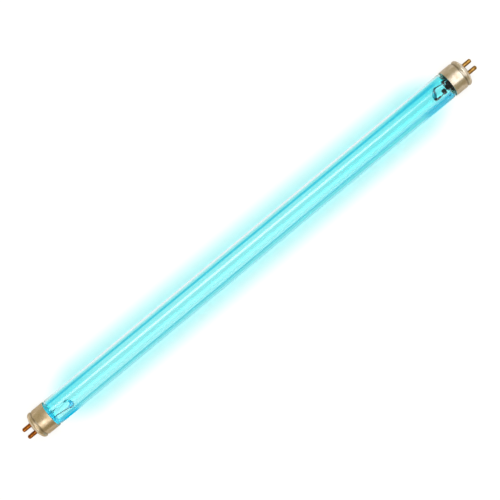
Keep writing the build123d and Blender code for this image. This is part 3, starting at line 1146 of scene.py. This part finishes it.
# %% [markdown]
# ## Stem glass
# The left stem is clear, with the soft waves of fire-polished glass. Metal from the electrode has
# blackened the front of the right one. A separate black piece could stand for that, but the metal is a
# film on the glass, so the same finish goes from clear to black round one place, with a ragged edge.

# %% Stem finishes
STEM_IOR = 1.52
CLEAR_STEM = (0.62, 0.90, 0.93, 1)
WAVY_STEM = (0.5, 0.84, 0.9, 1)
BLACKENED = (0.004, 0.005, 0.007, 1)
SMOKE_MIDDLE = Vector((141.5, -0.8, 0.0)) * MM
SMOKE_REACH = Vector((4.6, 3.1, 9.0)) * MM
SMOKE_EDGE = (0.9, 1.1)
SMOKE_RAGGED = 0.3
WAVES_MIDDLE = 0.5
POLISHED, SOOTY = 0.04, 0.8


def stem_glass(name, smoked):
    """Fire-polished glass, blackened round one place if it is smoked."""
    material, tree = new_material(name)
    place = object_place(tree)
    waves = mottle(tree, place, scale=500, detail=3)
    colour = blend(tree, eased(tree, waves, *NOISE_SPREAD), CLEAR_STEM, WAVY_STEM)
    clearness, rough = 1.0, POLISHED
    if smoked:
        off = vector_sum(tree, "SUBTRACT", "Vector", place, SMOKE_MIDDLE)
        off = vector_sum(tree, "DIVIDE", "Vector", off, SMOKE_REACH)
        ragged = product(tree, sum_of(tree, "SUBTRACT", waves, WAVES_MIDDLE), SMOKE_RAGGED)
        off = sum_of(tree, "ADD", vector_sum(tree, "LENGTH", "Value", off), ragged)
        clearness = eased(tree, off, *SMOKE_EDGE)
        rough = eased(tree, off, *SMOKE_EDGE, to_low=SOOTY, to_high=POLISHED)
        colour = blend(tree, clearness, BLACKENED, colour)
    shader = principled(
        tree,
        Base_Color=colour,
        Roughness=rough,
        IOR=STEM_IOR,
        Specular_Tint=BLACK,
        Transmission_Weight=clearness,
        Normal=relief(tree, waves, strength=0.15, distance=0.1 * MM),
    )
    clear_to_shadows(tree, shader)
    return material


clear_stem = stem_glass("clear_stem_glass", smoked=False)
smoked_stem = stem_glass("blackened_stem_glass", smoked=True)
print("stem finishes:", clear_stem.name, smoked_stem.name)

# %% [markdown]
# ## The stems
# A stem closes the tube: a flare fused to the tube's end, a short neck, and a press where the hot glass
# was pinched flat round the two leads. A loft between a circle and a slot would do for the press. Here it
# is made as the glass worker does it: the round part is turned, its open ring is drawn out, squeezed and
# flattened between two jaws, and the end is closed with a rounded edge.

# %% Turned stem
STEM_R = 4.1 * MM
STEM_BORE_R = 3.2 * MM
STEM_STOP = 3.5 * MM
CAVITY_CURVE = 0.4 * MM
FLARE_CURVE = 1.5 * MM
FLARE_LENGTH = 0.9 * MM
STEM_STEPS = 72

flare_face = depth("left_stem", LOW)
stem_line = [
    (tube_end + CAVITY, 0, 0),
    (tube_end + CAVITY, STEM_BORE_R, CAVITY_CURVE),
    (flare_face, STEM_BORE_R, FLARE_CURVE + FLARE_LENGTH),
    (flare_face, NECK_R, 0),
    (tube_end, NECK_R, 0),
    (tube_end, STEM_R, FLARE_CURVE),
    (tube_end + STEM_STOP, STEM_R, 0),
]
turned_stem = turn_at_left("turned_stem", stem_line, STEM_STEPS)
print("stem turned to", in_mm(tube_end + STEM_STOP), "mm")

# %% Presses, and the two stems
PRESS_BLEND = 1.8 * MM
PRESS_HALF = 1.2 * MM
PRESS_SQUEEZE = 0.6
PRESS_MARGIN = 1.4 * MM
PRESS_ROUNDING = 0.35 * MM
ROUNDING_STEPS = ((0.7, (1, 0.95, 0.88)), (0.3, (1, 0.9, 0.7)))


def press_flat(piece, start, stop, middle, half_width):
    """Draws the open ring out, squeezes it flat and closes its end with a rounded edge."""
    last = max(point.co.x for point in piece.data.vertices)
    pick(piece, lambda place: place.x > last - TINY)
    extrude((start - last, middle, 0))
    bpy.ops.transform.resize(
        value=(1, half_width / STEM_R, PRESS_SQUEEZE), center_override=(start, middle, 0)
    )
    bpy.ops.object.mode_set(mode="OBJECT")
    for jaw in (1, -1):
        pick(piece, lambda place: place.x > start - TINY and jaw * place.z > PRESS_HALF)
        bpy.ops.transform.resize(value=(1, 1, 0), center_override=(start, middle, jaw * PRESS_HALF))
        bpy.ops.object.mode_set(mode="OBJECT")
    pick(piece, lambda place: place.x > start - TINY)
    extrude((stop - PRESS_ROUNDING - start, 0, 0))
    for share, squeeze in ROUNDING_STEPS:
        extrude((share * PRESS_ROUNDING, 0, 0))
        bpy.ops.transform.resize(value=squeeze, center_override=(stop, middle, 0))
    bpy.ops.mesh.edge_face_add()
    bpy.ops.mesh.select_all(action="SELECT")
    bpy.ops.mesh.normals_make_consistent(inside=False)
    bpy.ops.object.mode_set(mode="OBJECT")


press_start = FACE_X + tube_end + STEM_STOP + PRESS_BLEND
for end, slot, finish in (("left", "stem_glass", clear_stem), ("right", "smoked_stem_glass", smoked_stem)):
    rear_y, front_y = presses[end, "rear"], presses[end, "front"]
    middle = (rear_y + front_y) / 2
    half_width = abs(rear_y - front_y) / 2 + PRESS_MARGIN
    stem = copy_of(turned_stem, f"{end}_glass_stem")
    low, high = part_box(f"{end}_stem")
    if end == "left":
        press_flat(stem, press_start, high.x, middle, half_width)
        seat(stem, "left_stem", finish)
    else:
        press_flat(stem, press_start, -low.x, -middle, half_width)
        seat(copy_of(stem, "right_glass_stem_turned", turned=True), "right_stem", finish)
        bpy.data.objects.remove(stem)
bpy.data.objects.remove(turned_stem)

# %% [markdown]
# ## The flag
# A small dark plate is welded on the right front lead and holds the lamp's mercury. It could be cut out
# of a drawn outline, but a cube at its own size is quicker: its four upright edges are bevelled round
# first, and then a thin bevel breaks the edges of its faces.

# %% Flag
FLAG_CORNER = 0.5 * MM
FLAG_CORNER_STEPS = 5
FLAG_EDGE = 0.05 * MM

low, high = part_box("mercury_flag")
size = high - low
bpy.ops.object.select_all(action="DESELECT")
bpy.ops.mesh.primitive_cube_add(size=1, location=(low + high) / 2, scale=size)
flag = bpy.context.object
flag.name = "mercury_plate"
bpy.ops.object.transform_apply(location=True, rotation=True, scale=True)
pick_none("EDGE")
for edge in flag.data.edges:
    first, second = (flag.data.vertices[i].co for i in edge.vertices)
    edge.select = abs(first.z - second.z) > TINY
bpy.ops.object.mode_set(mode="EDIT")
bpy.ops.mesh.bevel(offset=FLAG_CORNER, segments=FLAG_CORNER_STEPS)
bpy.ops.object.mode_set(mode="OBJECT")
break_edges(flag, FLAG_EDGE)
print("flag", [in_mm(v) for v in size])

# %% [markdown]
# The plate has gone black in the discharge, with a grain that catches a little light. Plain black would
# look like a hole in the picture, so two near-blacks are mixed by noise, and the same noise roughens the
# sheet.

# %% Flag finish
def grained_finish(name, dark, pale, scale, rough, bump, detail=6, tones=(0.35, 0.68), **sockets):
    """A dull finish in two tones, whose grain also makes it rough and lumpy."""
    material, tree = new_material(name)
    grain = mottle(tree, object_place(tree), scale, detail)
    shader = principled(
        tree,
        Base_Color=blend(tree, eased(tree, grain, *tones), dark, pale),
        Roughness=eased(tree, grain, *NOISE_SPREAD, *rough),
        Normal=relief(tree, grain, *bump),
        **sockets,
    )
    show(tree, shader)
    return material


black_plate = grained_finish(
    "blackened_plate",
    dark=(0.004, 0.004, 0.006, 1),
    pale=(0.016, 0.017, 0.02, 1),
    scale=1500,
    rough=(0.45, 0.7),
    bump=(0.3, 0.03 * MM),
    detail=5,
    tones=(0.4, 0.7),
    Metallic=0.4,
    Specular_IOR_Level=0.2,
)
seat(flag, "mercury_flag", black_plate)

# %% [markdown]
# ## Disc, cement and exhaust tube
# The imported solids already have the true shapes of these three, so they keep their meshes and only get
# finishes: a dark moulded disc that fills each cap's mouth, a grainy cement that shows inside the cap's
# open edge, and the little glass tube through which the lamp was pumped.

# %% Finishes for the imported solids
moulded = grained_finish(
    "moulded_disc",
    dark=(0.035, 0.026, 0.022, 1),
    pale=(0.075, 0.058, 0.048, 1),
    scale=900,
    rough=(0.4, 0.6),
    bump=(0.4, 0.03 * MM),
)
cement = grained_finish(
    "grainy_cement",
    dark=(0.50, 0.44, 0.35, 1),
    pale=(0.72, 0.66, 0.55, 1),
    scale=1600,
    rough=(0.75, 0.95),
    bump=(0.4, 0.08 * MM),
)
for name, finish in (
    ("left_disc", moulded),
    ("right_disc", moulded),
    ("left_cement", cement),
    ("right_cement", cement),
    ("exhaust_tube", clear_stem),
):
    nodes[name].data.materials.clear()
    nodes[name].data.materials.append(finish)
    FOR_REST.objects.link(nodes[name])
    print(name, finish.name)
